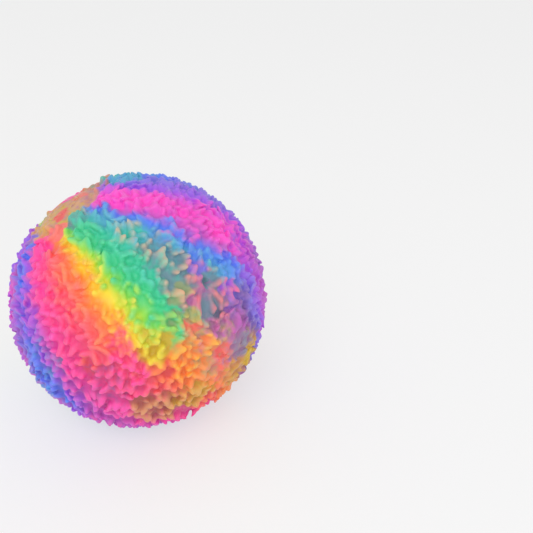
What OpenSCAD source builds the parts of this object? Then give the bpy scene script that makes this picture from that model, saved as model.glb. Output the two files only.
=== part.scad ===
/* [Ball] */
// Diameter across the tips of the ridges
ball_d = 90; // [75:1:110]
// Wall of the moulded skin
skin_t = 2; // [1.6:0.1:3]
// Diameter of the flat patch of skin where the soft ball rests
foot_d = 14; // [10:1:24]

/* [Ridges] */
// Number of ridge places spread over the ball
ridge_count = 760; // [400:10:800]
// Height of a ridge above the skin
ridge_h = 4; // [2.5:0.5:5]
// Length of a ridge along the skin
ridge_len = 5.8; // [4:0.2:7]
// Thickness of a ridge
ridge_w = 2; // [1.2:0.2:2.6]
// Most that a ridge leans over to one side
ridge_lean = 14; // [0:1:22]

/* [Star] */
// Tilt of the star from straight up
star_tilt = 57; // [40:1:75]
// Turn of the star about the upright axis, from +X
star_turn = -46; // [-90:1:45]
// Number of petals round the star's dimple
star_petals = 7; // [5:1:8]
// Diameter across the star's petals
star_d = 15; // [11:0.5:20]
// Diameter of the dimple in its middle
star_eye_d = 2; // [1.5:0.1:3]

/* [Filler hole] */
// Tilt of the filler hole from straight up, towards -X
filler_tilt = 32; // [20:1:60]
// Diameter of the smooth patch round the filler hole
patch_d = 23; // [18:1:30]
// Bore of the filler hole
hole_d = 5; // [3:0.5:7]
// Outer diameter of the neck inside the skin
neck_d = 16; // [15:0.5:20]
// Length of the neck below the inside of the skin
neck_h = 3; // [1.5:0.5:6]

/* [Filler plug] */
// Diameter of the plug's head
head_d = 10; // [9:0.5:11]
// Thickness of the plug's head, and depth of its seat
head_t = 1.6; // [1:0.1:2.4]
// Diameter of the barb that holds the plug
barb_d = 8; // [7.5:0.5:10]
// Length of the barb
barb_h = 2.6; // [1.5:0.1:4]
// Width of the cement ring round the head
cement_w = 1.2; // [0.8:0.1:1.6]

/* [Hidden] */

// Clearance between pieces that lie against each other
fit_gap = 0.1;
// Overrun of every cut
cut_over = 1;
// Turn from one ridge place to the next that spreads them evenly
golden_turn = 180 * (3 - sqrt(5));
// Turns that give each ridge its own direction and its own lean
heading_turn = 97.3;
lean_turn = 61.7;
// Shares of a ridge's half length: its two peaks and their flat tops
peak_in_share = 0.42;
peak_out_share = 0.8;
// Share of a ridge's height that stays in the saddle between its peaks
saddle_share = 0.6;
// Shares of a single nub's half length: its flat top, and its root
nub_top_share = 0.34;
nub_root_share = 0.62;
// Share of the skin's wall that a ridge's root reaches into
root_share = 0.5;
// Share of a petal's height that it has at the star's dimple
petal_inner_share = 0.35;
// Share of the skin's wall that the star's dimple takes
eye_share = 0.45;
// Share of the barb's diameter that is left at its tip
barb_tip_share = 0.5;

// Ball and skin
ball_r = ball_d / 2;
skin_r = ball_r - ridge_h;
cavity_r = skin_r - skin_t;
centre_z = sqrt(pow(skin_r, 2) - pow(foot_d / 2, 2));
root_h = skin_t * root_share;

// Height at which a corner of a ridge's top touches the ball's round outline
peak_out = ridge_len / 2 * peak_out_share;
peak_in = ridge_len / 2 * peak_in_share;
crest_h = sqrt(pow(ball_r, 2) - pow(peak_out, 2) - pow(ridge_w / 2, 2)) - skin_r;

// Half lengths of a nub's root and top, and the height at which its top touches the same outline
nub_root = ridge_len / 2 * nub_root_share;
nub_top = ridge_len / 2 * nub_top_share;
nub_h = sqrt(pow(ball_r, 2) - pow(nub_top, 2) - pow(ridge_w / 2, 2)) - skin_r;

// Places along the filler hole's axis, from the ball's centre
seat_z = skin_r - head_t;
neck_end = cavity_r - neck_h;
barb_top = neck_end - fit_gap;
barb_end = barb_top - barb_h;
seat_r = head_d / 2 + cement_w;

// Directions from the ball's centre
function direction(tilt, turn) = [sin(tilt) * cos(turn), sin(tilt) * sin(turn), cos(tilt)];
function angle_between(a, b) = acos(min(1, max(-1, a * b)));
filler_dir = direction(filler_tilt, 180);
star_dir = direction(star_tilt, star_turn);

// A ridge place: its tilt, its turn, and whether a ridge can stand there
function place_tilt(i) = acos(1 - 2 * (i + 0.5) / ridge_count);
function place_turn(i) = i * golden_turn;
function place_dir(i) = direction(place_tilt(i), place_turn(i));
patch_clear = asin((patch_d + ridge_len / 2) / 2 / skin_r);
star_clear = asin((star_d + ridge_len / 2) / 2 / skin_r);
function is_free(dir) =
    angle_between(dir, filler_dir) > patch_clear && angle_between(dir, star_dir) > star_clear;
ridge_places = [for (i = [0 : ridge_count - 1]) if (is_free(place_dir(i))) i];

// Moves its children to the ball's centre
module at_centre() {
    translate([0, 0, centre_z])
        children();
}

// Moves its children to a place on the skin, with +Z pointing straight out of it
module on_skin(tilt, turn) {
    rotate([0, tilt, turn])
        translate([0, 0, skin_r])
            children();
}

// Turns its children to the filler hole's axis
module at_filler() {
    at_centre()
        rotate([0, -filler_tilt, 0])
            children();
}

// A ball with a flat foot at a height above the table
module footed_ball(r, foot_z) {
    difference() {
        at_centre()
            sphere(r = r, $fn = 96);
        translate([-r, -r, foot_z - 2 * r])
            cube([2 * r, 2 * r, 2 * r]);
    }
}

// A short upright ridge with two peaks and a saddle between them
module ridge() {
    rotate([90, 0, 0])
        linear_extrude(height = ridge_w, center = true)
            polygon([
                [-ridge_len / 2, -root_h],
                [ridge_len / 2, -root_h],
                [peak_out, crest_h],
                [peak_in, crest_h],
                [0, crest_h * saddle_share],
                [-peak_in, crest_h],
                [-peak_out, crest_h]
            ]);
}

// A short upright nub with one peak
module nub() {
    rotate([90, 0, 0])
        linear_extrude(height = ridge_w, center = true)
            polygon([
                [-nub_root, -root_h],
                [nub_root, -root_h],
                [nub_top, nub_h],
                [-nub_top, nub_h]
            ]);
}

// A petal that rises from the star's dimple to its outer end
module petal() {
    rotate([90, 0, 0])
        linear_extrude(height = ridge_w, center = true)
            polygon([
                [star_eye_d, -root_h],
                [star_d / 2, -root_h],
                [star_d / 2, crest_h * saddle_share],
                [star_d / 2 - ridge_w, crest_h],
                [star_eye_d, crest_h * petal_inner_share]
            ]);
}

// All ridges, each turned and leant its own way
module ridges() {
    at_centre()
        for (i = ridge_places)
            on_skin(place_tilt(i), place_turn(i))
                rotate([0, 0, i * heading_turn])
                    rotate([ridge_lean * sin(i * lean_turn), 0, 0])
                        if (i % 3 == 0)
                            nub();
                        else
                            ridge();
}

// The star's petals round its dimple
module star() {
    at_centre()
        on_skin(star_tilt, star_turn)
            for (i = [0 : star_petals - 1])
                rotate([0, 0, i * 360 / star_petals])
                    petal();
}

// The neck that thickens the skin round the filler hole
module neck() {
    intersection() {
        at_centre()
            sphere(r = skin_r, $fn = 96);
        at_filler()
            translate([0, 0, neck_end])
                cylinder(h = skin_r - neck_end, d = neck_d, $fn = 64);
    }
}

// The moulded skin: hollow ball, ridges, star, neck and filler hole
module ridged_skin() {
    color("orchid")
        difference() {
            union() {
                difference() {
                    union() {
                        at_centre()
                            sphere(r = skin_r, $fn = 96);
                        ridges();
                        star();
                    }
                    footed_ball(cavity_r, skin_t);
                    translate([-ball_d, -ball_d, -ball_d])
                        cube([2 * ball_d, 2 * ball_d, ball_d]);
                }
                neck();
            }
            at_filler()
                translate([0, 0, neck_end - cut_over])
                    cylinder(h = ball_r - neck_end, d = hole_d, $fn = 48);
            at_filler()
                translate([0, 0, seat_z])
                    cylinder(h = head_t + cut_over, r = seat_r, $fn = 64);
            at_centre()
                on_skin(star_tilt, star_turn)
                    sphere(d = min(star_eye_d, 2 * skin_t * eye_share), $fn = 32);
        }
}

// The soft dough that fills the skin, with room for the neck and the barb
module soft_filling() {
    color("lavenderblush")
        difference() {
            footed_ball(cavity_r - fit_gap, skin_t + fit_gap);
            at_filler()
                translate([0, 0, neck_end - fit_gap])
                    cylinder(h = skin_r - neck_end, d = neck_d + 2 * fit_gap, $fn = 64);
            at_filler()
                translate([0, 0, barb_end - fit_gap])
                    cylinder(h = skin_r - barb_end, d = barb_d + 2 * fit_gap, $fn = 48);
        }
}

// The stopper: a round head flush with the skin, a stem and a tapered barb
module filler_plug() {
    color("hotpink")
        intersection() {
            at_centre()
                sphere(r = skin_r, $fn = 96);
            at_filler() {
                translate([0, 0, seat_z + fit_gap])
                    cylinder(h = head_t, d = head_d, $fn = 64);
                translate([0, 0, barb_top - barb_h / 2])
                    cylinder(h = seat_z - barb_top + barb_h, d = hole_d - 2 * fit_gap, $fn = 48);
                translate([0, 0, barb_end])
                    cylinder(h = barb_h, d1 = barb_d * barb_tip_share, d2 = barb_d, $fn = 48);
            }
        }
}

// The cement: a ring that fills the seat round the head, with a round top
module plug_cement() {
    color("peru")
        at_filler()
            rotate_extrude($fn = 64)
                translate([head_d / 2 + cement_w / 2, 0]) {
                    translate([fit_gap - cement_w / 2, seat_z + fit_gap])
                        square([cement_w - 2 * fit_gap, head_t - 2 * fit_gap]);
                    translate([0, skin_r - fit_gap])
                        circle(d = cement_w - 2 * fit_gap, $fn = 32);
                }
}

ridged_skin();
soft_filling();
filler_plug();
plug_cement();
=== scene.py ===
import math

import bmesh
import bpy
import numpy as np
from bpy.props import FloatProperty, FloatVectorProperty, IntProperty, PointerProperty
from mathutils import Matrix, Vector, noise


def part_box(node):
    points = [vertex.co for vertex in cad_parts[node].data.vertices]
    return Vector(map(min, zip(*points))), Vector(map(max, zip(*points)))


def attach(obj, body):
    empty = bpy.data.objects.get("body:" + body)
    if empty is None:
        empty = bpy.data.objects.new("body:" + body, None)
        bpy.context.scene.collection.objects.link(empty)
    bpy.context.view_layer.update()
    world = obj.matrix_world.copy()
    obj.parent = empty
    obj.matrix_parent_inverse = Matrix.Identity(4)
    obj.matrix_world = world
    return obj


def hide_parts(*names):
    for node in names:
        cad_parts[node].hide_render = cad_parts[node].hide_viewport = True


bl_info = {
    "name": "Ridged Squeeze Ball",
    "version": (1, 0, 0),
    "blender": (4, 5, 0),
    "location": "View3D > Sidebar > Ball",
    "description": "Builds a soft squeeze ball with a ridged, dyed skin, its filling and its filler plug",
    "category": "Add Mesh",
}

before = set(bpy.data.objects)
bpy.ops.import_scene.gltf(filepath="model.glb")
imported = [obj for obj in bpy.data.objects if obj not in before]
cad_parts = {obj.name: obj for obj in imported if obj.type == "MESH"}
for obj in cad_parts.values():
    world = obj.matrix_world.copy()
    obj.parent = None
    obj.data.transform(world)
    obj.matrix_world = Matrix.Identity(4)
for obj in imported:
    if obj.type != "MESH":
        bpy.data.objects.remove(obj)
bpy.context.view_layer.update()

MM = 0.001

# Sizes that come from the frame: the ball's centre, its radii and the filler hole's axis
FIT_GAP = 0.1 * MM
SKIN_LOW, SKIN_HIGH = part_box("ridged_skin")
FILLING_LOW, FILLING_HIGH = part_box("soft_filling")
RING_LOW, RING_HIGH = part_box("plug_cement")
FILLING_R = (FILLING_HIGH.x - FILLING_LOW.x) / 2
CENTRE = Vector((0, 0, FILLING_HIGH.z - FILLING_R))
CAVITY_R = FILLING_R + FIT_GAP
WALL = FILLING_LOW.z - FIT_GAP
SKIN_R = CAVITY_R + WALL
RIDGE_H = (SKIN_HIGH.x - SKIN_LOW.x) / 2 - SKIN_R
FILLER_AXIS = ((RING_LOW + RING_HIGH) / 2 - CENTRE).normalized()

# A crest's height is carried in its line's distance from the unit ball, times this
CREST_CODE = 0.004

# Petals of the star, outwards, as lines of heading from straight downhill in degrees, millimetres
# from the dimple, and crest. The line with very low crests only keeps the maze away
STAR_PETALS = (
    ((-88, 2.6, 0.5), (-84, 6.0, 0.9), (-80, 10.5, 0.8)),
    ((-66, 2.4, 0.4), (-54, 6.0, 0.85), (-44, 9.0, 0.95), (-38, 12.0, 0.85)),
    ((-62, 6.5, 0.6), (-55, 9.0, 0.75), (-47, 12.0, 0.7)),
    ((-46, 15.3, 0.8), (-37, 17.8, 0.8)),
    ((-30, 10.0, 0.12), (-18, 10.2, 0.12), (-6, 10.4, 0.12), (4, 11.0, 0.12)),
    ((0, 2.2, 0.5), (14, 4.5, 0.85), (18, 7.0, 0.85), (10, 9.5, 0.6)),
    ((-12, 4.4, 0.5), (-9, 7.9, 0.75), (-11, 11.2, 0.6)),
    ((30, 2.0, 0.5), (56, 3.6, 0.8), (74, 5.6, 0.85)),
    ((-122, 3.6, 0.7), (-142, 2.6, 0.6)),
    ((-110, 6.2, 0.5), (-122, 6.6, 0.8)),
    ((52, 8.6, 0.8), (36, 10.6, 0.85)),
    ((139, 3.9, 0.7), (110, 5.2, 0.8)),
)
# Thick fins on the rim of the smooth patch, as lines of tilt, turn and crest
RIM_FINS = (
    ((25.6, -144, 0.9), (28.6, -137, 0.95), (28.8, -146, 0.9), (25.8, -136, 0.95)),
    ((27.2, -147, 0.85), (27.2, -134, 0.9)),
    ((22, -152, 0.6), (23, -143, 0.75)),
    ((18.3, -143, 0.8), (18.3, -134, 0.85)),
    ((14, -128, 0.95), (15.4, -121, 0.95)),
    ((33, -141, 0.8), (35, -137, 0.8)),
    ((37.5, -148, 0.5), (35.2, -151, 0.8)),
    ((37.5, -148, 0.5), (38.5, -157, 0.85)),
    ((37.5, -148, 0.5), (40.4, -148, 0.75)),
    ((40.8, -163, 0.6), (43.2, -158, 0.7)),
    ((14, 159, 0.8), (14.6, 175, 0.85)),
    ((13.2, -142, 0.85), (7.4, -141, 0.95), (4.4, -110, 0.95), (8.2, -88, 0.9)),
    ((27.2, -124, 0.85), (26.2, -117, 0.95), (27.2, -110, 0.9)),
)
# Tilt and turn of the far end of the stretch of low ridges beside the smooth patch
LOW_END = (44, 147)
# Tilt and turn of the middle of the area where the ridges stand close and full, the height that its
# ground is raised towards, and the share of the way that it goes
FULL_MIDDLE = (97, -38)
FULL_LEVEL = 0.9
FULL_SHARE = 0.4
# Least and most crest of the maze's junctions, and of the middles of its walls
JUNCTION_CREST = (0.78, 1.15)
MIDDLE_CREST = (0.1, 0.65)
# Crest near the low ridges, as a share of the usual one
LOW_CREST = 0.42
# A wall's reach in half widths and, over that reach, its height and how far its flanks are drawn in
WALL_REACH = 3
WALL_RISE = ((0, 1), (0.1, 0.98), (0.2, 0.88), (0.33, 0.6), (0.45, 0.36), (0.6, 0.18), (0.8, 0.05), (1, 0))
WALL_DRAW = ((0, 0), (0.2, 0.24), (0.33, 0.33), (0.45, 0.38), (0.6, 0.52), (0.8, 0.78), (1, 1))

# Kinds of a tree's inputs, by the type of the value that goes in
SOCKET_KINDS = (
    (int, "Int"),
    (float, "Float"),
    (list, "Vector"),
    (bpy.types.Object, "Object"),
    (bpy.types.Material, "Material"),
)

# Lamps: name, place from the ball's centre, side, and share of the large lamp's power
LAMPS = (
    ("key", (-0.16, -0.66, 0.68), 0.7, 1.0),
    ("fill", (0.6, -0.6, 0.35), 0.6, 0.25),
)

# Dyes, as red, green and blue from 0 to 255
DYES = {
    "hot_pink": (255, 70, 170), "rose": (255, 80, 136), "coral": (255, 110, 98),
    "orange": (255, 142, 66), "amber": (255, 192, 50), "yellow": (246, 222, 52),
    "lime": (158, 224, 76), "green": (66, 210, 140), "teal": (62, 200, 176),
    "cyan": (90, 178, 208), "blue": (92, 134, 246), "violet": (172, 92, 232),
    "magenta": (255, 76, 206), "periwinkle": (136, 120, 226), "orchid": (206, 92, 200),
    "salmon": (255, 124, 124), "peach": (240, 176, 140), "mauve": (178, 104, 164),
    "plum": (128, 84, 158), "dusk": (112, 140, 158), "pine": (90, 134, 146),
    "tan": (220, 168, 108), "mustard": (216, 180, 44), "brown": (200, 124, 90),
    "sage": (150, 166, 118), "red": (240, 84, 88), "bare_rubber": (240, 214, 216),
    "dough": (238, 230, 222), "plug_rubber": (214, 150, 122), "cement": (206, 172, 120),
}

# Dye bands of the upper ball, by turn about the dye's pole in degrees
BANDS = (
    (-165, "hot_pink"), (-150, "orange"), (-134, "yellow"), (-116, "green"), (-94, "blue"),
    (-68, "violet"), (-56, "orchid"), (-45, "periwinkle"), (-38, "blue"), (-30, "violet"),
    (-24, "orchid"), (-17, "hot_pink"), (-4, "rose"), (6, "coral"), (13, "orange"),
    (17.5, "amber"), (22.5, "yellow"), (27, "lime"), (32, "green"), (44, "teal"),
    (52, "cyan"), (59, "blue"), (63.5, "orchid"), (67, "magenta"), (78, "magenta"),
    (88, "violet"), (102, "periwinkle"), (118, "blue"), (133, "teal"), (143, "coral"),
    (160, "rose"),
)
# Dye bands of the lower ball, where the dyes have run together
LOW_BANDS = (
    (-150, "coral"), (-120, "mustard"), (-90, "teal"), (-66, "periwinkle"), (-48, "violet"),
    (-32, "orchid"), (-16, "hot_pink"), (2, "rose"), (10, "coral"), (17, "orange"),
    (30, "orange"), (39, "tan"), (46, "mauve"), (60, "plum"), (68, "periwinkle"),
    (76, "violet"), (88, "orchid"), (110, "periwinkle"), (140, "mauve"),
)

# Mists of other dye: angle from the dye's pole, turn about it and reach in degrees, share covered,
# and the dye below and on the tips
MISTS = (
    (50, 50, 8, 0.5, "teal", "peach"), (64, 49, 10, 0.5, "dusk", "peach"),
    (77, 47, 11, 0.65, "dusk", "peach"), (90, 50, 13, 0.9, "dusk", "salmon"),
    (80, 58, 7, 0.6, "blue", "periwinkle"), (83, 43, 7, 0.7, "sage", "peach"),
    (88, 41, 6, 0.5, "mauve", "peach"), (94, 46, 7, 0.55, "mauve", "salmon"),
    (82, 55, 6, 0.6, "periwinkle", "salmon"), (87, 32, 6, 0.6, "sage", "lime"),
    (95, 35, 7, 0.7, "coral", "tan"), (78, 11, 8, 0.6, "rose", "coral"),
    (71, 16, 5, 0.6, "orange", "orange"), (91, 5, 12, 0.7, "rose", "hot_pink"),
    (99, 17, 6, 0.7, "orange", "coral"), (109, 36, 9, 0.8, "orange", "tan"),
    (102, 52, 12, 0.4, "mauve", "salmon"), (105, 57, 10, 0.5, "periwinkle", "mauve"),
    (97, 59, 6, 0.6, "violet", "salmon"), (89, 51, 6, 0.75, "mauve", "salmon"),
    (91, 39, 5, 0.7, "sage", "mustard"), (88, 44.5, 4, 0.8, "mauve", "salmon"),
    (66, 74, 16, 0.45, "orchid", "magenta"), (95, 88, 14, 0.5, "violet", "orchid"),
    (91, 20, 10, 0.8, "mustard", "yellow"), (104, 24, 12, 0.6, "orange", "amber"),
    (102, 14, 7, 0.7, "red", "orange"), (50, -38, 16, 0.45, "violet", "orchid"),
    (42, -60, 12, 0.5, "orchid", "magenta"), (84, -50, 11, 0.5, "blue", "cyan"),
    (68, -34, 16, 0.3, "cyan", "blue"), (34, 114, 11, 0.75, "cyan", "cyan"),
    (80, -8, 7, 0.5, "red", "orange"), (94, -8, 16, 0.35, "mauve", "hot_pink"),
    (112, -40, 12, 0.4, "orchid", "rose"), (106, 42, 13, 0.45, "mauve", "salmon"),
    (96, 49, 8.5, 0.75, "dusk", "salmon"), (87.9, 54.3, 1.9, 1.1, "pine", "pine"),
    (117, -4, 16, 0.8, "brown", "tan"), (126, 12, 14, 0.7, "mustard", "tan"),
    (137, 20, 9, 0.7, "red", "coral"), (116, 46, 18, 0.5, "mauve", "orchid"),
    (112, 36, 16, 0.4, "sage", "tan"), (124, 38, 16, 0.5, "red", "coral"),
    (109, 37, 6, 0.7, "orange", "amber"), (127, 50, 12, 0.5, "sage", "mustard"),
    (136, 46, 18, 0.6, "brown", "mustard"), (123, 48, 10, 0.75, "mauve", "dusk"),
    (137, 53, 8, 0.7, "mustard", "mustard"), (6, 73, 23, 1.0, "tan", "tan"),
    (8, 40, 22, 0.4, "mustard", "mustard"), (16, 118, 16, 0.45, "brown", "coral"),
    (10, 60, 20, 0.3, "mauve", "peach"), (13, 176, 10, 1.1, "hot_pink", "rose"),
    (12, 132, 6.5, 1.1, "hot_pink", "rose"), (15, 95, 5, 0.5, "coral", "coral"),
    (11, -118, 9, 0.5, "sage", "violet"), (22, -100, 12, 0.8, "orchid", "violet"),
    (12, 40, 5, 0.7, "red", "coral"), (25, 38, 6, 0.7, "dusk", "teal"),
    (21, 16, 6, 1.3, "salmon", "salmon"), (24, -5, 7, 0.8, "hot_pink", "hot_pink"),
)

# Where the bands part, far from the dye's pole: turns from and to, and the shift between them, all in
# degrees, and the angles from the pole over which that sets in
PARTINGS = ((4.0, 18.0, -6.0), (20.0, 75.0, 20.0))
PARTING_AWAY = (40.0, 95.0)
# Angles from the pole over which the lower bands take over
LOW_AWAY = (92.0, 104.0)

# The lower side, where the valleys between the ridges are darkened as painted shade, and the tint of that
# painted shade
PAINTED_SHADE_SIDE = (-0.35, -0.35, -0.87)
PAINTED_PIT_SHADE = (0.7, 0.54, 0.74)

# Shares of a ridge's height between which its tip's dye begins
TIP_SHARES = (0.35, 0.95)


def direction(tilt, turn):
    """The unit vector at a tilt from straight up and a turn from +X, both in degrees."""
    tilt, turn = math.radians(tilt), math.radians(turn)
    return Vector((math.sin(tilt) * math.cos(turn), math.sin(tilt) * math.sin(turn), math.cos(tilt)))


def step_from(start, heading, distance):
    """The unit vector at a distance over the skin from another, its heading in degrees from downhill."""
    east = Vector((0, 0, 1)).cross(start).normalized()
    south = east.cross(start)
    heading, angle = math.radians(heading), distance / SKIN_R
    tangent = math.cos(heading) * south + math.sin(heading) * east
    return math.cos(angle) * start + math.sin(angle) * tangent


def linear(colour):
    """An sRGB colour from 0 to 1 as the linear RGBA that a colour socket takes."""
    return tuple(c / 12.92 if c <= 0.04045 else ((c + 0.055) / 1.055) ** 2.4 for c in colour) + (1.0,)


def math_method(operation, swapped=False):
    """A method of Value that adds a Math node for itself and another value."""
    if swapped:
        return lambda self, other: self.math(operation, other, self)
    return lambda self, other: self.math(operation, self, other)


class Value:
    """A value in a node tree. Python's operators on it add Math nodes."""

    def __init__(self, graph, socket):
        self.graph = graph
        self.socket = socket

    def math(self, operation, *values):
        return self.graph.node("ShaderNodeMath", {"operation": operation}, dict(enumerate(values)))

    __add__ = __radd__ = math_method("ADD")
    __sub__ = math_method("SUBTRACT")
    __rsub__ = math_method("SUBTRACT", swapped=True)
    __mul__ = __rmul__ = math_method("MULTIPLY")
    __truediv__ = math_method("DIVIDE")
    __rtruediv__ = math_method("DIVIDE", swapped=True)
    __lt__ = math_method("LESS_THAN")
    at_least = math_method("MAXIMUM")
    at_most = math_method("MINIMUM")


class Graph:
    """A node tree under construction."""

    def __init__(self, tree):
        self.tree = tree

    def node(self, kind, settings=None, sockets=None, output=0):
        """Adds a node, its settings first and then its sockets, and gives one of its outputs."""
        made = self.tree.nodes.new(kind)
        for name, value in (settings or {}).items():
            if name == "stops":
                self.set_stops(made.color_ramp.elements, value)
            elif name == "points":
                self.set_points(made.mapping, value)
            else:
                setattr(made, name, value)
        for key, value in (sockets or {}).items():
            for one in value if isinstance(value, list) else [value]:
                if isinstance(one, Value):
                    self.tree.links.new(one.socket, made.inputs[key])
                else:
                    made.inputs[key].default_value = one
        return Value(self, made.outputs[output]) if made.outputs else None

    @staticmethod
    def set_stops(elements, stops):
        while len(elements) < len(stops):
            elements.new(1.0)
        for element, (place, colour) in zip(elements, stops):
            element.position = place
            element.color = colour

    @staticmethod
    def set_points(mapping, points):
        curve = mapping.curves[0]
        curve.points[0].location = points[0]
        curve.points[1].location = points[-1]
        for point in points[1:-1]:
            curve.points.new(*point)
        mapping.update()

    def vector(self, operation, *values, output=0):
        return self.node("ShaderNodeVectorMath", {"operation": operation}, dict(enumerate(values)), output)

    def scaled(self, vector, factor):
        return self.node("ShaderNodeVectorMath", {"operation": "SCALE"}, {0: vector, "Scale": factor})

    def unit(self, vector):
        return self.vector("NORMALIZE", vector)

    def length(self, vector):
        return self.vector("LENGTH", vector, output="Value")

    def dot(self, one, other):
        return self.vector("DOT_PRODUCT", one, other, output="Value")

    def apart(self, one, other):
        """The distance between two places."""
        return self.vector("DISTANCE", one, other, output="Value")

    def curve(self, value, points):
        return self.node("ShaderNodeFloatCurve", {"points": points}, {"Value": value})

    def move(self, geometry, position):
        """A geometry with its points moved."""
        return self.node("GeometryNodeSetPosition", sockets={"Geometry": geometry, "Position": position})

    def ramp(self, value, low, high, start=0.0, end=1.0, how="SMOOTHSTEP"):
        return self.node(
            "ShaderNodeMapRange",
            {"interpolation_type": how},
            {"Value": value, "From Min": low, "From Max": high, "To Min": start, "To Max": end},
        )

    def noise(self, where, scale, seed=0.0, detail=1.0, output=0):
        return self.node(
            "ShaderNodeTexNoise",
            {"noise_dimensions": "4D"},
            {"Vector": where, "W": seed, "Scale": scale, "Detail": detail},
            output,
        )

    def vector_noise(self, where, scale, seed=0.0, detail=0.0):
        """Noise from -0.5 to 0.5 on each axis."""
        return self.vector("SUBTRACT", self.noise(where, scale, seed, detail, "Color"), (0.5, 0.5, 0.5))

    def parts(self, vector):
        """The three numbers of a vector."""
        first = self.node("ShaderNodeSeparateXYZ", sockets={"Vector": vector})
        return [Value(self, socket) for socket in first.socket.node.outputs]

    def blend(self, factor, one, other):
        """A mix of two colours."""
        return self.node("ShaderNodeMix", {"data_type": "RGBA"}, {0: factor, 6: one, 7: other}, 2)

    def random(self, low, high, seed):
        sockets = {2: low, 3: high, "Seed": seed}
        return self.node("FunctionNodeRandomValue", {"data_type": "FLOAT"}, sockets, 1)

    def here(self):
        return self.node("GeometryNodeInputPosition")

    def nearest(self, lines, where, output="Position"):
        """The point of some lines that is nearest to a place, or the distance to it."""
        sockets = {"Target": lines, "Source Position": where}
        return self.node("GeometryNodeProximity", {"target_element": "EDGES"}, sockets, output)


def number(name, description, default, **kind):
    return FloatProperty(name=name, description=description, default=default, **kind)


def length(name, description, default):
    return number(name, description, default, unit="LENGTH")


class BallSkin(bpy.types.PropertyGroup):
    """Sizes of the ridged skin."""

    ridge_width: length("Ridge Width", "Thickness of a ridge halfway up", 1.9 * MM)
    fin_width: length("Large Fin Width", "Thickness of a petal or rim nub", 1.8 * MM)
    ridge_pitch: length("Ridge Pitch", "Distance from one ridge to the next", 4.2 * MM)
    open_share: number("Open Share", "Share of the maze's walls left out", 0.34, subtype="FACTOR")
    lean: length("Lean", "How far a ridge's tip leans to one side", 2.6 * MM)
    seed: IntProperty(name="Seed", description="Choice of the maze", default=3)
    detail: IntProperty(
        name="Detail", description="Vertices along a sixth of the skin", default=260
    )
    star_tilt: number("Star Tilt", "Tilt of the star from straight up, in degrees", 57)
    star_turn: number("Star Turn", "Turn of the star from +X, in degrees", -44)
    star_clear: length("Star Clearing", "Radius round the star without a maze", 5 * MM)
    star_eye: length("Star Dimple", "Radius of the star's dimple", 0.9 * MM)
    star_depth: length("Star Depth", "Depth of the star's dimple", 1.3 * MM)
    patch: length("Smooth Patch", "Radius of the patch without ridges", 11.5 * MM)
    full: length("Full Area", "Radius of the area of full ridges", 19 * MM)
    ground: length("Ground", "Height of the ground between the ridges", 1.0 * MM)
    patch_rise: length("Patch Rise", "Height of the patch above that ground", 1.0 * MM)


class BallFiller(bpy.types.PropertyGroup):
    """Sizes of the filler hole, its plug and the cement."""

    hole: length("Hole", "Radius of the hole", 2.5 * MM)
    neck: length("Neck", "Outer radius of the neck", 8 * MM)
    neck_depth: length("Neck Depth", "Length of the neck below the skin", 3 * MM)
    head: length("Head", "Radius of the plug's head", 5 * MM)
    head_depth: length("Head Depth", "Thickness of the head, and its seat", 1.6 * MM)
    barb: length("Barb", "Radius of the plug's barb", 4 * MM)
    barb_length: length("Barb Length", "Length of the plug's barb", 2.6 * MM)
    cement: length("Cement", "Width of the ring of cement", 1.2 * MM)


def dye_property(name):
    return FloatVectorProperty(
        name=name.replace("_", " ").title(),
        description="A dye or bare colour of the ball",
        default=tuple(c / 255 for c in DYES[name]),
        subtype="COLOR_GAMMA",
        min=0,
        max=1,
    )


class BallDye(bpy.types.PropertyGroup):
    """The ball's dyes, and where their bands meet."""

    __annotations__ = {name: dye_property(name) for name in DYES} | {
        "pole_tilt": number("Pole Tilt", "Tilt of the point where the bands meet, in degrees", 38),
        "pole_turn": number("Pole Turn", "Turn of the point where the bands meet, in degrees", 177),
    }


class BallStage(bpy.types.PropertyGroup):
    """The photograph's frame, the lamps and the floor."""

    photo_side: number("Photo Side", "Width of the frame in pixels", 533)
    focal: number("Focal Length", "Focal length in pixels", 794)
    look_down: number("Look Down", "Camera's pitch in degrees", 31.3)
    eye: FloatVectorProperty(
        name="Eye",
        description="Camera from the ball's centre",
        default=(0.0445, -0.2335, 0.1555),
        unit="LENGTH",
    )
    sky: number("Sky", "Strength of the even light", 0.85)
    key: number("Key", "Power of the large lamp in watts", 3.1)
    floor: FloatVectorProperty(
        name="Floor", description="Colour of the floor", default=(0.98, 0.98, 0.98), subtype="COLOR_GAMMA"
    )
    floor_white: number(
        "Floor White", "How far the floor shows its own plain colour", 0.6, subtype="FACTOR"
    )


def own_properties(group):
    """The properties that a group's class gives it."""
    return [prop for prop in group.bl_rna.properties if prop.identifier not in ("rna_type", "name")]


def dye(name):
    """A dye as a linear colour."""
    return linear(getattr(bpy.context.scene.ball_dye, name))


def material(name):
    """A new material, its empty node tree and the Object coordinates in it."""
    made = bpy.data.materials.new(name)
    made.use_nodes = True
    made.node_tree.nodes.clear()
    graph = Graph(made.node_tree)
    return made, graph, graph.node("ShaderNodeTexCoord", output="Object")


def principled(graph, colour, roughness, relief, depth, soft=(0.0, (1.0, 1.0, 1.0), MM), sheen=0.0):
    """A Principled surface with a bump. Soft: the share of light that goes in, its spread and depth."""
    bump = graph.node("ShaderNodeBump", sockets={"Strength": 1.0, "Distance": depth, "Height": relief})
    sockets = {"Base Color": colour, "Roughness": roughness, "Normal": bump, "Sheen Weight": sheen}
    sockets.update(zip(("Subsurface Weight", "Subsurface Radius", "Subsurface Scale"), soft))
    return graph.node("ShaderNodeBsdfPrincipled", sockets=sockets)


def surface(graph, *finish):
    """Ends a material in a Principled surface."""
    graph.node("ShaderNodeOutputMaterial", sockets={"Surface": principled(graph, *finish)})


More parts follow.
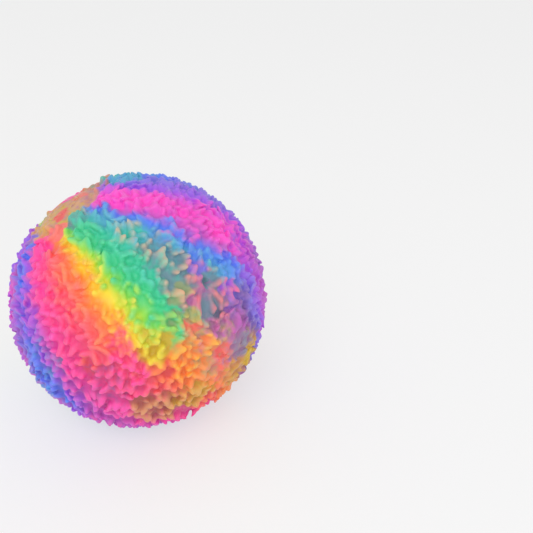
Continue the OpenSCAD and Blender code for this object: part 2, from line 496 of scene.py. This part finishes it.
def band_colour(graph, bands, turn):
    """The dye of a table of bands at a turn about the dye's pole, in degrees."""
    stops = [(degrees / 360 + 0.5, dye(name)) for degrees, name in bands]
    stops.append((1.0, dye(bands[0][1])))
    share = graph.node("ShaderNodeMath", {"operation": "FRACT"}, {0: turn / 360 + 0.5})
    return graph.node("ShaderNodeValToRGB", {"stops": stops}, {"Fac": share})


def dye_film_and_shade(graph, where):
    """The dye film: bands round a pole, paler tips, mists of other dye, and painted shade in the lower
    valleys.
    """
    dyes = bpy.context.scene.ball_dye
    white = (1.0, 1.0, 1.0, 1.0)
    from_centre = graph.vector("SUBTRACT", where, tuple(CENTRE))
    facing = graph.unit(from_centre)
    ridge = (graph.length(from_centre) - SKIN_R) / RIDGE_H
    tip = graph.ramp(ridge, *TIP_SHARES)

    drift = graph.scaled(graph.vector_noise(facing, 2.5, 1.0), 0.05)
    ragged = graph.scaled(graph.vector_noise(facing, 9.0, 2.0, 1.0), 0.14)
    moved = graph.unit(graph.vector("ADD", facing, graph.vector("ADD", drift, ragged)))

    pole = direction(dyes.pole_tilt, dyes.pole_turn)
    first = (Vector((0, -1, 0)) + pole * pole.y).normalized()
    second = pole.cross(first)
    along, across, up = (graph.dot(moved, tuple(axis)) for axis in (first, second, pole))
    turn = along.math("ARCTAN2", across, along) * math.degrees(1)
    away = up.math("ARCCOSINE", up) * math.degrees(1)
    left, right = (graph.ramp(turn, start, end, 0.0, far, "LINEAR") for start, end, far in PARTINGS)
    spread_turn = turn - (left + right) * graph.ramp(away, *PARTING_AWAY, how="LINEAR")
    low = graph.ramp(away, *LOW_AWAY)

    def bands(shift):
        upper = band_colour(graph, BANDS, spread_turn + shift)
        return graph.blend(low, upper, band_colour(graph, LOW_BANDS, turn + shift))

    # The tips are a little paler, partly from a thin pale coat and partly as a painted highlight on the
    # crests, and their bands lie a few degrees to either side
    over = bands(graph.ramp(graph.noise(facing, 5.0, 6.0), 0.3, 0.7, -5.0, 5.0))
    colour = graph.blend(tip, bands(0.0), graph.blend(0.03, over, white))

    clouds = graph.vector_noise(facing, 8.0, 9.0, 2.0)
    specks = graph.vector_noise(facing, 24.0, 10.0, 1.0)
    patterns = graph.parts(graph.scaled(graph.vector("ADD", clouds, specks), 1.1))
    for number, (tilt, at, reach, cover, valley, peak) in enumerate(MISTS):
        tilt, at = math.radians(tilt), math.radians(at)
        middle = math.cos(tilt) * pole + math.sin(tilt) * (math.cos(at) * first + math.sin(at) * second)
        near = graph.dot(moved, tuple(middle))
        amount = graph.ramp(near, math.cos(math.radians(reach)), math.cos(math.radians(reach * 0.4)))
        broken = graph.ramp(amount * cover + patterns[number % 3], 0.08, 0.82) * (amount * 4).at_most(0.92)
        colour = graph.blend(broken, colour, graph.blend(tip * 0.75, dye(valley), dye(peak)))

    # Painted shade: the valleys on the side turned down and away are darkened, as if in shade from the
    # lamps above
    side = graph.dot(facing, PAINTED_SHADE_SIDE)
    pit_shade = graph.ramp(ridge, 0.35, 0.75, 1.0, 0.0) * graph.ramp(side, -0.2, 0.6)
    return graph.blend(pit_shade, colour, graph.vector("MULTIPLY", colour, PAINTED_PIT_SHADE)), ridge


def skin_material():
    """Soft moulded rubber: dyed outside, bare inside."""
    made, graph, where = material("dyed_skin")
    colour, ridge = dye_film_and_shade(graph, where)
    # Halfway through the wall the dye gives way to bare rubber
    inside = graph.ramp(ridge, -WALL / RIDGE_H * 0.6, -WALL / RIDGE_H * 0.4, 1.0, 0.0)
    cloudy = graph.noise(where, 300.0, 4.0, 2.0)
    bare = graph.blend(cloudy, dye("bare_rubber"), dye("dough"))
    colour = graph.blend(inside, colour, bare)
    grain = graph.noise(where, 2600.0, 3.0, 2.0) + graph.noise(where, 700.0, 8.0, 1.0) * 1.5
    roughness = graph.ramp(graph.noise(where, 500.0, 7.0, 2.0), 0.3, 0.7, 0.42, 0.58)
    soft, sheen = (0.3, (1.0, 0.85, 0.85), 1.2 * MM), 0.12
    surface(graph, colour, roughness, grain, 0.05 * MM, soft, sheen)
    return made


def plug_material():
    """The plug's rubber, with the film of dye on its head alone."""
    made, graph, where = material("plug_rubber")
    film, ridge = dye_film_and_shade(graph, where)
    cloudy = graph.noise(where, 900.0, 2.0, 2.0)
    rubber = graph.blend(cloudy, dye("plug_rubber"), dye("brown"))
    colour = graph.blend(graph.ramp(ridge, -0.2, -0.08), rubber, film)
    roughness = graph.ramp(cloudy, 0.3, 0.7, 0.38, 0.52)
    grain = graph.noise(where, 3000.0, 3.0, 2.0)
    surface(graph, colour, roughness, grain, 0.04 * MM, (0.4, (1.0, 0.7, 0.6), 1.2 * MM))
    return made


def cement_material():
    """Set cement, a little glossy, stained by the dye."""
    made, graph, where = material("cement")
    film, ridge = dye_film_and_shade(graph, where)
    cloudy = graph.noise(where, 1200.0, 6.0, 3.0)
    colour = graph.blend(graph.ramp(ridge, -0.25, -0.1), dye("cement"), film)
    roughness = graph.ramp(cloudy, 0.3, 0.7, 0.22, 0.4)
    surface(graph, colour, roughness, cloudy, 0.08 * MM, (0.3, (1.0, 0.7, 0.5), 0.8 * MM))
    return made


def dough_material():
    """Dull, tacky dough with faint folds."""
    made, graph, where = material("dough")
    cloudy = graph.noise(where, 90.0, 1.0, 4.0)
    crumb = graph.noise(where, 1500.0, 2.0, 3.0)
    colour = graph.blend(cloudy, dye("dough"), dye("bare_rubber"))
    roughness = graph.ramp(crumb, 0.3, 0.7, 0.62, 0.8)
    surface(graph, colour, roughness, crumb + cloudy * 2, 0.15 * MM, (0.3, (1.0, 0.8, 0.7), 1.5 * MM))
    return made


def geometry_tree(name, values):
    """A Geometry Nodes tree with a named input for each of some values."""
    tree = bpy.data.node_groups.new(name, "GeometryNodeTree")
    for label, value in values.items():
        kind = next(kind for value_type, kind in SOCKET_KINDS if isinstance(value, value_type))
        tree.interface.new_socket(label, in_out="INPUT", socket_type="NodeSocket" + kind)
    tree.interface.new_socket("Geometry", in_out="OUTPUT", socket_type="NodeSocketGeometry")
    graph = Graph(tree)
    start = tree.nodes.new("NodeGroupInput")
    return graph, {label: Value(graph, start.outputs[label]) for label in values}


def end_tree(graph, geometry, finish):
    """Ends a tree in smooth, real geometry with its material."""
    smooth = graph.node("GeometryNodeSetShadeSmooth", sockets={"Geometry": geometry})
    real = graph.node("GeometryNodeRealizeInstances", sockets={"Geometry": smooth})
    made = graph.node("GeometryNodeSetMaterial", sockets={"Geometry": real, "Material": finish})
    out = graph.tree.nodes.new("NodeGroupOutput")
    graph.tree.links.new(made.socket, out.inputs["Geometry"])


def new_piece(name, mesh):
    """An object with a mesh, in the scene."""
    piece = bpy.data.objects.new(name, mesh)
    bpy.context.scene.collection.objects.link(piece)
    return piece


def apply_modifiers(piece):
    """Turns what a piece's modifiers make into its plain mesh."""
    depsgraph = bpy.context.evaluated_depsgraph_get()
    mesh = bpy.data.meshes.new_from_object(piece.evaluated_get(depsgraph))
    piece.modifiers.clear()
    piece.data = mesh
    mesh.name = piece.name


def grow(name, make_tree, values):
    """A piece whose mesh is what a Geometry Nodes tree makes of the given inputs."""
    graph = make_tree(values)
    piece = new_piece(name, bpy.data.meshes.new(name))
    modifier = piece.modifiers.new(graph.tree.name, "NODES")
    modifier.node_group = graph.tree
    for item in graph.tree.interface.items_tree:
        if item.in_out == "INPUT":
            modifier[item.identifier] = values[item.name]
    apply_modifiers(piece)
    return piece


def carve(piece, *cutters):
    """Cuts bodies out of a piece and removes them."""
    for cutter in cutters:
        cut = piece.modifiers.new("cut", "BOOLEAN")
        cut.operation = "DIFFERENCE"
        cut.solver = "MANIFOLD"
        cut.object = cutter
    apply_modifiers(piece)
    for cutter in cutters:
        bpy.data.objects.remove(cutter)


def lathe(name, outline, steps, finish=None):
    """A body turned about the filler hole's axis, from (radius, height) points with the lowest first."""
    made = bmesh.new()
    rings = []
    circle = [(math.cos(2 * math.pi * k / steps), math.sin(2 * math.pi * k / steps)) for k in range(steps)]
    for radius, height in outline:
        if radius < FIT_GAP / 10:
            rings.append([made.verts.new((0, 0, height))] * steps)
        else:
            rings.append([made.verts.new((radius * x, radius * y, height)) for x, y in circle])
    for low, high in zip(rings, rings[1:]):
        for k in range(steps):
            corners = dict.fromkeys((low[k], low[(k + 1) % steps], high[(k + 1) % steps], high[k]))
            if len(corners) > 2:
                made.faces.new(list(corners))
    bmesh.ops.recalc_face_normals(made, faces=made.faces)
    for face in made.faces:
        face.smooth = True
    mesh = bpy.data.meshes.new(name)
    made.to_mesh(mesh)
    made.free()
    mesh.transform(Matrix.Translation(CENTRE) @ FILLER_AXIS.to_track_quat("Z", "Y").to_matrix().to_4x4())
    if finish:
        mesh.materials.append(finish)
    return new_piece(name, mesh)


def stepped(name, discs, top):
    """Stacked discs about the filler hole's axis, from their (radius, underside) with the lowest first."""
    ends = [underside for _, underside in discs[1:]] + [top]
    outline = [(0, discs[0][1])]
    for (radius, underside), end in zip(discs, ends):
        outline += [(radius, underside), (radius, end)]
    return lathe(name, outline + [(0, top)], 64)


def rounded(points, radius, steps=5):
    """An open outline with its inner corners rounded."""
    made = [points[0]]
    for before, corner, after in zip(points, points[1:], points[2:]):
        here = Vector(corner)
        into, out = (Vector(before) - here), (Vector(after) - here)
        reach = min(radius, into.length * 0.45, out.length * 0.45)
        start, end = here + into.normalized() * reach, here + out.normalized() * reach
        for k in range(steps + 1):
            t = k / steps
            made.append(tuple(start * (1 - t) ** 2 + here * 2 * t * (1 - t) + end * t**2))
    made.append(points[-1])
    return made


def lines_object(name, strokes):
    """A helper mesh of lines, each a list of (direction, crest) points."""
    mesh = bpy.data.meshes.new(name)
    points, edges = [], []
    for stroke in strokes:
        first = len(points)
        points += [facing * (1 + crest * CREST_CODE) for facing, crest in stroke]
        edges += [(k, k + 1) for k in range(first, len(points) - 1)]
    mesh.from_pydata(points, edges, [])
    return new_piece(name, mesh)


def petal_strokes(star):
    """The star's petals as lines."""
    return [
        [(step_from(star, heading, distance * MM), crest) for heading, distance, crest in petal]
        for petal in STAR_PETALS
    ]


def rim_strokes():
    """The thick fins on the patch's rim as lines."""
    return [[(direction(tilt, turn), crest) for tilt, turn, crest in fin] for fin in RIM_FINS]


def dense_ball(graph, detail):
    """A unit ball of even quads: a cube's grid, evened out and blown up."""
    cube = graph.node(
        "GeometryNodeMeshCube",
        sockets={"Size": (2.0, 2.0, 2.0)} | {"Vertices " + axis: detail for axis in "XYZ"},
    )
    even = graph.vector("TANGENT", graph.vector("MULTIPLY", graph.here(), (math.pi / 4,) * 3))
    return graph.move(cube, graph.unit(even))


def stand(graph, offset, floor):
    """A place from the ball's centre, kept above a floor."""
    x, y, z = graph.parts(graph.vector("ADD", offset, tuple(CENTRE)))
    return graph.node("ShaderNodeCombineXYZ", sockets={"X": x, "Y": y, "Z": z.at_least(floor)})


def maze_lines(graph, given, pitch, fins):
    """The maze as lines on the unit ball: the edges of even random cells, some of them left out."""
    ball = graph.node("GeometryNodeMeshIcoSphere", sockets={"Radius": 1.0, "Subdivisions": 6})
    spots = graph.node(
        "GeometryNodeDistributePointsOnFaces",
        {"distribute_method": "POISSON"},
        {"Mesh": ball, "Distance Min": pitch * 0.86, "Density Max": 3000.0, "Seed": given["Seed"]},
    )
    hull = graph.node("GeometryNodeConvexHull", sockets={"Geometry": spots})
    cells = graph.node("GeometryNodeDualMesh", sockets={"Mesh": hull})
    wires = graph.node(
        "GeometryNodeDeleteGeometry",
        {"domain": "FACE", "mode": "ONLY_FACE"},
        {"Geometry": cells, "Selection": True},
    )
    # Walls that run away from the patch are kept more often than those across
    here = graph.unit(graph.here())
    first, last = (graph.node("GeometryNodeInputMeshEdgeVertices", output=f"Position {k}") for k in (1, 2))
    run = graph.unit(graph.vector("SUBTRACT", last, first))
    outward = graph.unit(graph.vector("SUBTRACT", here, given["Patch Direction"]))
    along = graph.dot(run, outward)
    along = along.math("ABSOLUTE", along)
    sparse = graph.ramp(graph.noise(here, 1.4, 6.0, 0.0), 0.35, 0.65, 0.6, 1.5)
    dropped = graph.random(0.0, 1.0, given["Seed"]) < given["Open Share"] * sparse * (1.6 - along)
    for middle, radius in (("Patch Direction", "Smooth Patch"), ("Star Direction", "Star Clearing")):
        apart = graph.apart(here, given[middle])
        dropped = dropped.at_least(apart < given[radius] / given["Skin Radius"])
    fin_width = given["Large Fin Width"] / given["Skin Radius"]
    dropped = dropped.at_least(graph.nearest(fins, here, "Distance") < fin_width)
    wires = graph.node(
        "GeometryNodeDeleteGeometry",
        {"domain": "EDGE", "mode": "EDGE_FACE"},
        {"Geometry": wires, "Selection": dropped},
    )
    # Junctions come first after one subdivision, and then the middles of the walls
    junctions = graph.node(
        "GeometryNodeAttributeDomainSize", {"component": "MESH"}, {"Geometry": wires}, "Point Count"
    )
    halved = graph.node("GeometryNodeSubdivideMesh", sockets={"Mesh": wires, "Level": 1})
    is_junction = graph.node("GeometryNodeInputIndex") < junctions
    crest = is_junction * graph.random(*JUNCTION_CREST, 11)
    crest = crest + (1 - is_junction) * graph.random(*MIDDLE_CREST, 12)
    low = graph.nearest(given["Low Ridges"], here, "Distance") * given["Skin Radius"]
    crest = crest * graph.ramp(low, given["Smooth Patch"] * 0.8, given["Smooth Patch"] * 1.3, LOW_CREST)
    halved = graph.node(
        "GeometryNodeStoreNamedAttribute",
        {"data_type": "FLOAT", "domain": "POINT"},
        {"Geometry": halved, "Name": "crest", "Value": crest},
    )
    fine = graph.node("GeometryNodeSubdivideMesh", sockets={"Mesh": halved, "Level": 2})
    crest = graph.node("GeometryNodeInputNamedAttribute", {"data_type": "FLOAT"}, {"Name": "crest"})
    crest = graph.node("GeometryNodeBlurAttribute", {"data_type": "FLOAT"}, {0: crest, "Iterations": 1})
    wave = graph.scaled(graph.vector_noise(here, 0.9 / pitch, 3.0), pitch * 0.6)
    ripple = graph.scaled(graph.vector_noise(here, 2.4 / pitch, 5.0), pitch * 0.3)
    line = graph.unit(graph.vector("ADD", here, graph.vector("ADD", wave, ripple)))
    return graph.move(fine, graph.scaled(line, 1 + crest * CREST_CODE))


def nearest_crest(graph, lines, width):
    """The nearest point of some lines: its direction, its crest, and the reach to it in half widths."""
    here = graph.here()
    near = graph.nearest(lines, here)
    crest = (graph.length(near) - 1) / CREST_CODE
    line = graph.unit(near)
    away = graph.vector("SUBTRACT", here, line)
    reach = graph.length(away) / width * 2 * (1.25 - 0.4 * crest)
    return line, crest, away, reach


def maze_tree(values):
    """The skin's outer form: a ball with walls raised along the maze, the star and the rim's nubs."""
    graph, given = geometry_tree("Ridge Maze", values)
    skin_r = given["Skin Radius"]
    pitch = given["Ridge Pitch"] / skin_r
    for label in ("Large Fins", "Low Ridges"):
        sockets = {"Object": given[label]}
        given[label] = graph.node("GeometryNodeObjectInfo", sockets=sockets, output="Geometry")
    fins = given["Large Fins"]
    walls = maze_lines(graph, given, pitch, fins)

    of_wall = nearest_crest(graph, walls, given["Ridge Width"] / skin_r)
    of_fin = nearest_crest(graph, fins, given["Large Fin Width"] / skin_r)
    is_fin = of_fin[-1] < of_wall[-1]
    # Each of the four has its kind, and a Mix node's first input and its output of that kind
    mixes = (("VECTOR", 4, 1), ("FLOAT", 2, 0)) * 2
    picked = []
    for one, other, (kind, first, output) in zip(of_wall, of_fin, mixes):
        sockets = {0: is_fin, first: one, first + 1: other}
        picked.append(graph.node("ShaderNodeMix", {"data_type": kind}, sockets, output))
    line, crest, away, reach = picked

    far = (reach / WALL_REACH).at_most(1.0)
    teeth = graph.noise(line, 2.2 / pitch, 13.0, 0.0)
    crest = (crest * (1 + (teeth - 0.5) * (1.1 - is_fin * 0.9))).at_most(1.0)
    height = graph.curve(far, WALL_RISE) * crest
    # Low on the right the ground between the ridges is raised towards their tops
    to_full = graph.apart(line, given["Full Direction"]) * skin_r
    full = graph.ramp(to_full, given["Full Area"] * 0.4, given["Full Area"], FULL_SHARE, 0.0)
    height = height + (FULL_LEVEL - height) * full
    drawn = (graph.curve(far, WALL_DRAW) / far.at_least(0.0005)).at_most(1.6)
    flat = graph.ramp(far, 0.98, 1.0)
    drawn = drawn * (1 - flat) + flat
    beside = graph.vector("ADD", line, graph.scaled(away, drawn))

    leaning = graph.vector_noise(line, 0.7 / pitch, 7.0)
    leaning = graph.vector("SUBTRACT", leaning, graph.scaled(line, graph.dot(leaning, line)))
    leaning = graph.scaled(leaning, given["Lean"] / skin_r * 3.2 * height * height)
    facing = graph.unit(graph.vector("ADD", beside, leaning))

    to_patch = graph.apart(facing, given["Patch Direction"]) * skin_r
    in_patch = graph.ramp(to_patch, given["Smooth Patch"] * 0.7, given["Smooth Patch"], 1.0, 0.0)
    to_star = graph.apart(facing, given["Star Direction"]) * skin_r
    dimple = graph.ramp(to_star, given["Star Dimple"] * 0.4, given["Star Dimple"] * 1.5, 1.0, 0.0)
    lumps = (graph.noise(facing, 9.0, 4.0, 1.0) - 0.5) * (0.5 + in_patch * 0.5) * MM
    relief = lumps + in_patch * given["Patch Rise"] - dimple * given["Star Depth"]
    radius = skin_r + given["Ground"] + (given["Ridge Height"] - given["Ground"]) * height + relief

    placed = stand(graph, graph.scaled(facing, radius), 0.0)
    raised = graph.move(dense_ball(graph, given["Detail"]), placed)
    sockets = {0: graph.here(), "Iterations": 4}
    softer = graph.node("GeometryNodeBlurAttribute", {"data_type": "FLOAT_VECTOR"}, sockets)
    end_tree(graph, graph.move(raised, softer), given["Finish"])
    return graph


def body_tree(values):
    """A plain or lumpy ball that is flat where it stands."""
    graph, given = geometry_tree("Footed Ball", values)
    ball = dense_ball(graph, given["Detail"])
    facing = graph.unit(graph.here())
    lump = graph.noise(facing, given["Radius"] / given["Lump Size"], 2.0, 2.0)
    radius = given["Radius"] - lump * given["Lump Height"]
    placed = stand(graph, graph.scaled(facing, radius), given["Floor"])
    end_tree(graph, graph.move(ball, placed), given["Finish"])
    return graph


def footed_ball(name, radius, floor, detail, finish, lump_height=0.0, lump_size=10 * MM):
    """A ball with a flat foot at a height above the table."""
    values = {
        "Radius": radius,
        "Floor": floor,
        "Lump Height": lump_height,
        "Lump Size": lump_size,
        "Detail": detail,
        "Finish": finish,
    }
    return grow(name, body_tree, values)


def read(items, name, kind, width=1):
    """One attribute of all items of a mesh as an array, with a row for each item."""
    values = np.empty(len(items) * width, kind)
    items.foreach_get(name, values)
    return values.reshape(-1, width)


def unfold(mesh):
    """Lays the ball's outside and inside out flat as two octahedral maps, one above the other."""
    centre = np.array(CENTRE, np.float32)
    corners = read(mesh.loops, "vertex_index", np.int32).ravel()
    sizes = read(mesh.polygons, "loop_total", np.int32).ravel()
    facing = (read(mesh.vertices, "co", np.float32, 3) - centre)[corners]
    middles = np.repeat(read(mesh.polygons, "center", np.float32, 3) - centre, sizes, axis=0)

    facing = facing / np.abs(facing).sum(axis=1, keepdims=True)
    side = np.where(middles[:, :2] < 0, -1.0, 1.0)
    folded = (1 - facing[:, 1::-1] * side[:, ::-1]) * side
    flat = np.where(facing[:, 2:3] < 0, folded, facing[:, :2]) * 0.49 + 0.5
    outer = np.linalg.norm(middles, axis=1) > SKIN_R - WALL / 2
    flat[:, 1] = np.where(outer, flat[:, 1] * 0.84, 0.85 + flat[:, 1] * 0.15)
    layer = mesh.uv_layers.new(name="OFBake")
    layer.data.foreach_set("uv", flat.astype(np.float32).ravel())


def filler_heights(sizes):
    """Heights along the filler hole's axis: the seat, the neck's end, and the barb's top and end."""
    seat = SKIN_R - sizes.head_depth
    neck_end = CAVITY_R - sizes.neck_depth
    barb_top = neck_end - FIT_GAP
    return seat, neck_end, barb_top, barb_top - sizes.barb_length


def patch_level(context):
    """The smooth patch's distance from the ball's centre."""
    sizes = context.scene.ball_skin
    return SKIN_R + sizes.ground + sizes.patch_rise


class BALL_OT_ridged_skin(bpy.types.Operator):
    """Make the hollow, ridged and dyed skin with its star, smooth patch and filler hole"""

    bl_idname = "ball.ridged_skin"
    bl_label = "Ridged Skin"

    def execute(self, context):
        sizes, filler = context.scene.ball_skin, context.scene.ball_filler
        star = direction(sizes.star_tilt, sizes.star_turn)
        finish = skin_material()
        fins = lines_object("large_fins", petal_strokes(star) + rim_strokes())
        low = lines_object("low_ridges", [[(FILLER_AXIS, 0), (direction(*LOW_END), 0)]])
        values = {
            "Large Fins": fins,
            "Low Ridges": low,
            "Skin Radius": SKIN_R,
            "Ridge Height": RIDGE_H,
            "Patch Direction": list(FILLER_AXIS),
            "Star Direction": list(star),
            "Full Direction": list(direction(*FULL_MIDDLE)),
            "Finish": finish,
        }
        for prop in own_properties(sizes):
            if prop.identifier not in ("star_tilt", "star_turn"):
                values[prop.name] = getattr(sizes, prop.identifier)
        skin = grow("skin", maze_tree, values)
        bpy.data.objects.remove(fins)
        bpy.data.objects.remove(low)

        seat, neck_end, _, _ = filler_heights(filler)
        over = RIDGE_H
        cavity = footed_ball("cavity", CAVITY_R, WALL, 72, finish)
        carve(cavity, stepped("neck", ((filler.neck, neck_end),), SKIN_R))
        discs = ((filler.hole, neck_end - over), (filler.head + filler.cement, seat))
        carve(skin, cavity, stepped("bore", discs, SKIN_R + over))
        unfold(skin.data)
        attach(skin, "root")
        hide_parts("ridged_skin")
        return {"FINISHED"}


class BALL_OT_soft_filling(bpy.types.Operator):
    """Make the dough that fills the skin"""

    bl_idname = "ball.soft_filling"
    bl_label = "Soft Filling"

    def execute(self, context):
        filler = context.scene.ball_filler
        _, neck_end, _, barb_end = filler_heights(filler)
        lumps = {"lump_height": 0.5 * MM, "lump_size": 9 * MM}
        dough = footed_ball("filling", FILLING_R, FILLING_LOW.z, 96, dough_material(), **lumps)
        discs = ((filler.barb + FIT_GAP, barb_end - FIT_GAP), (filler.neck + FIT_GAP, neck_end - FIT_GAP))
        carve(dough, stepped("room", discs, SKIN_R))
        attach(dough, "root")
        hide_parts("soft_filling")
        return {"FINISHED"}


class BALL_OT_filler_plug(bpy.types.Operator):
    """Make the stopper: a domed head, a stem and a tapered barb"""

    bl_idname = "ball.filler_plug"
    bl_label = "Filler Plug"

    def execute(self, context):
        sizes = context.scene.ball_filler
        seat, _, barb_top, barb_end = filler_heights(sizes)
        stem = sizes.hole - FIT_GAP
        pip = 0.5 * MM
        pip_rise = 0.25 * MM
        barb_lip = 0.5 * MM
        top = patch_level(context)
        edge = math.sqrt(top**2 - sizes.head**2)
        below = [
            (0, barb_end),
            (sizes.barb / 2, barb_end),
            (sizes.barb, barb_top - barb_lip),
            (sizes.barb, barb_top),
            (stem, barb_top),
            (stem, seat + FIT_GAP),
            (sizes.head, seat + FIT_GAP),
            (sizes.head, edge),
        ]
        steps = 10
        dome = [sizes.head * (1 - k / steps) for k in range(1, steps)]
        above = [(r, math.sqrt(top**2 - r**2)) for r in dome]
        above += [(pip * 1.6, top - pip_rise * 0.1), (pip, top + pip_rise * 0.8), (0, top + pip_rise)]
        corner = 0.12 * MM
        plug = lathe("plug", rounded(below + above, corner), 96, plug_material())
        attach(plug, "root")
        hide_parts("filler_plug")
        return {"FINISHED"}


class BALL_OT_plug_cement(bpy.types.Operator):
    """Make the uneven bead of cement round the plug's head"""

    bl_idname = "ball.plug_cement"
    bl_label = "Plug Cement"

    def execute(self, context):
        sizes = context.scene.ball_filler
        seat = filler_heights(sizes)[0]
        play = 0.03 * MM
        lump = 1.6 * MM
        half = sizes.cement / 2 - play
        middle = sizes.head + sizes.cement / 2
        level = math.sqrt(patch_level(context) ** 2 - middle**2) - FIT_GAP
        steps = 12
        arc = [math.pi * k / steps for k in range(steps + 1)]
        outline = [(middle - half, seat + FIT_GAP), (middle + half, seat + FIT_GAP)]
        outline += [(middle + half * math.cos(a), level + half * 0.5 * math.sin(a)) for a in arc]
        bead = lathe("cement_bead", outline + outline[:1], 128, cement_material())
        made = bmesh.new()
        made.from_mesh(bead.data)
        bmesh.ops.remove_doubles(made, verts=made.verts, dist=FIT_GAP / 10)
        bmesh.ops.recalc_face_normals(made, faces=made.faces)
        for vertex in made.verts:
            if (vertex.co - CENTRE).dot(FILLER_AXIS) > level + FIT_GAP:
                swell = noise.noise(vertex.co / lump) * 0.2 * MM
                vertex.co += (vertex.co - CENTRE).normalized() * swell
        made.to_mesh(bead.data)
        made.free()
        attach(bead, "root")
        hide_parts("plug_cement")
        return {"FINISHED"}


class BALL_OT_stage(bpy.types.Operator):
    """Set up the floor, the lamps and the camera at the photograph's viewpoint"""

    bl_idname = "ball.stage"
    bl_label = "Stage"

    def execute(self, context):
        scene, look = context.scene, context.scene.ball_stage
        scene.view_settings.view_transform = "Standard"

        camera = bpy.data.cameras.new("camera")
        camera.sensor_width = 36  # millimetres
        camera.lens = look.focal / look.photo_side * camera.sensor_width
        camera.clip_start = 0.01
        eye = new_piece("camera", camera)
        eye.location = CENTRE + Vector(look.eye)
        eye.rotation_euler = (math.radians(90 - look.look_down), 0, 0)
        scene.camera = eye

        for name, place, size, share in LAMPS:
            lamp = bpy.data.lights.new(name, "AREA")
            lamp.energy = look.key * share
            lamp.size = size
            holder = new_piece(name, lamp)
            holder.location = CENTRE + Vector(place)
            holder.rotation_euler = Vector(place).to_track_quat("Z", "Y").to_euler()

        world = bpy.data.worlds.new("studio")
        scene.world = world
        world.use_nodes = True
        world.node_tree.nodes.clear()
        graph = Graph(world.node_tree)
        rays = ("Is Camera Ray", "Is Glossy Ray", "Is Transmission Ray")
        seen = [graph.node("ShaderNodeLightPath", output=name) for name in rays]
        shown = seen[0].at_least(seen[1]).at_least(seen[2])
        light = graph.node("ShaderNodeBackground", sockets={"Strength": shown * (1 - look.sky) + look.sky})
        graph.node("ShaderNodeOutputWorld", sockets={"Surface": light})

        half = 4.0
        mesh = bpy.data.meshes.new("floor")
        corners = [(-half, -half, 0), (half, -half, 0), (half, half, 0), (-half, half, 0)]
        mesh.from_pydata(corners, [], [(0, 1, 2, 3)])
        made, graph, where = material("floor")
        paper = graph.noise(where, 900.0, 1.0, 2.0)
        lit = principled(graph, linear(look.floor), 0.8, paper, 0.02 * MM)
        white = graph.node("ShaderNodeEmission", sockets={"Color": linear(look.floor), "Strength": 1.0})
        shown = graph.node("ShaderNodeLightPath", output="Is Camera Ray") * look.floor_white
        mixed = graph.node("ShaderNodeMixShader", sockets={0: shown, 1: lit, 2: white})
        graph.node("ShaderNodeOutputMaterial", sockets={"Surface": mixed})
        mesh.materials.append(made)
        new_piece("floor", mesh)
        return {"FINISHED"}


class BALL_PT_panel(bpy.types.Panel):
    """Lists the ball's sizes and makers"""

    bl_label = "Ridged Squeeze Ball"
    bl_space_type = "VIEW_3D"
    bl_region_type = "UI"
    bl_category = "Ball"

    def draw(self, context):
        for group in GROUPS:
            box = self.layout.box()
            box.label(text=group.replace("_", " ").title())
            values = getattr(context.scene, group)
            for prop in own_properties(values):
                box.prop(values, prop.identifier)
        for maker in OPERATORS:
            self.layout.operator(maker.bl_idname)


GROUPS = {"ball_skin": BallSkin, "ball_filler": BallFiller, "ball_dye": BallDye, "ball_stage": BallStage}
OPERATORS = (
    BALL_OT_stage,
    BALL_OT_ridged_skin,
    BALL_OT_soft_filling,
    BALL_OT_filler_plug,
    BALL_OT_plug_cement,
)


def register():
    for kind in (*GROUPS.values(), *OPERATORS, BALL_PT_panel):
        bpy.utils.register_class(kind)
    for name, kind in GROUPS.items():
        setattr(bpy.types.Scene, name, PointerProperty(type=kind))


def unregister():
    for name in GROUPS:
        delattr(bpy.types.Scene, name)
    for kind in (BALL_PT_panel, *OPERATORS, *GROUPS.values()):
        bpy.utils.unregister_class(kind)


def main():
    register()
    bpy.ops.ball.stage()
    bpy.ops.ball.ridged_skin()
    bpy.ops.ball.soft_filling()
    bpy.ops.ball.filler_plug()
    bpy.ops.ball.plug_cement()


if __name__ == "__main__":
    main()
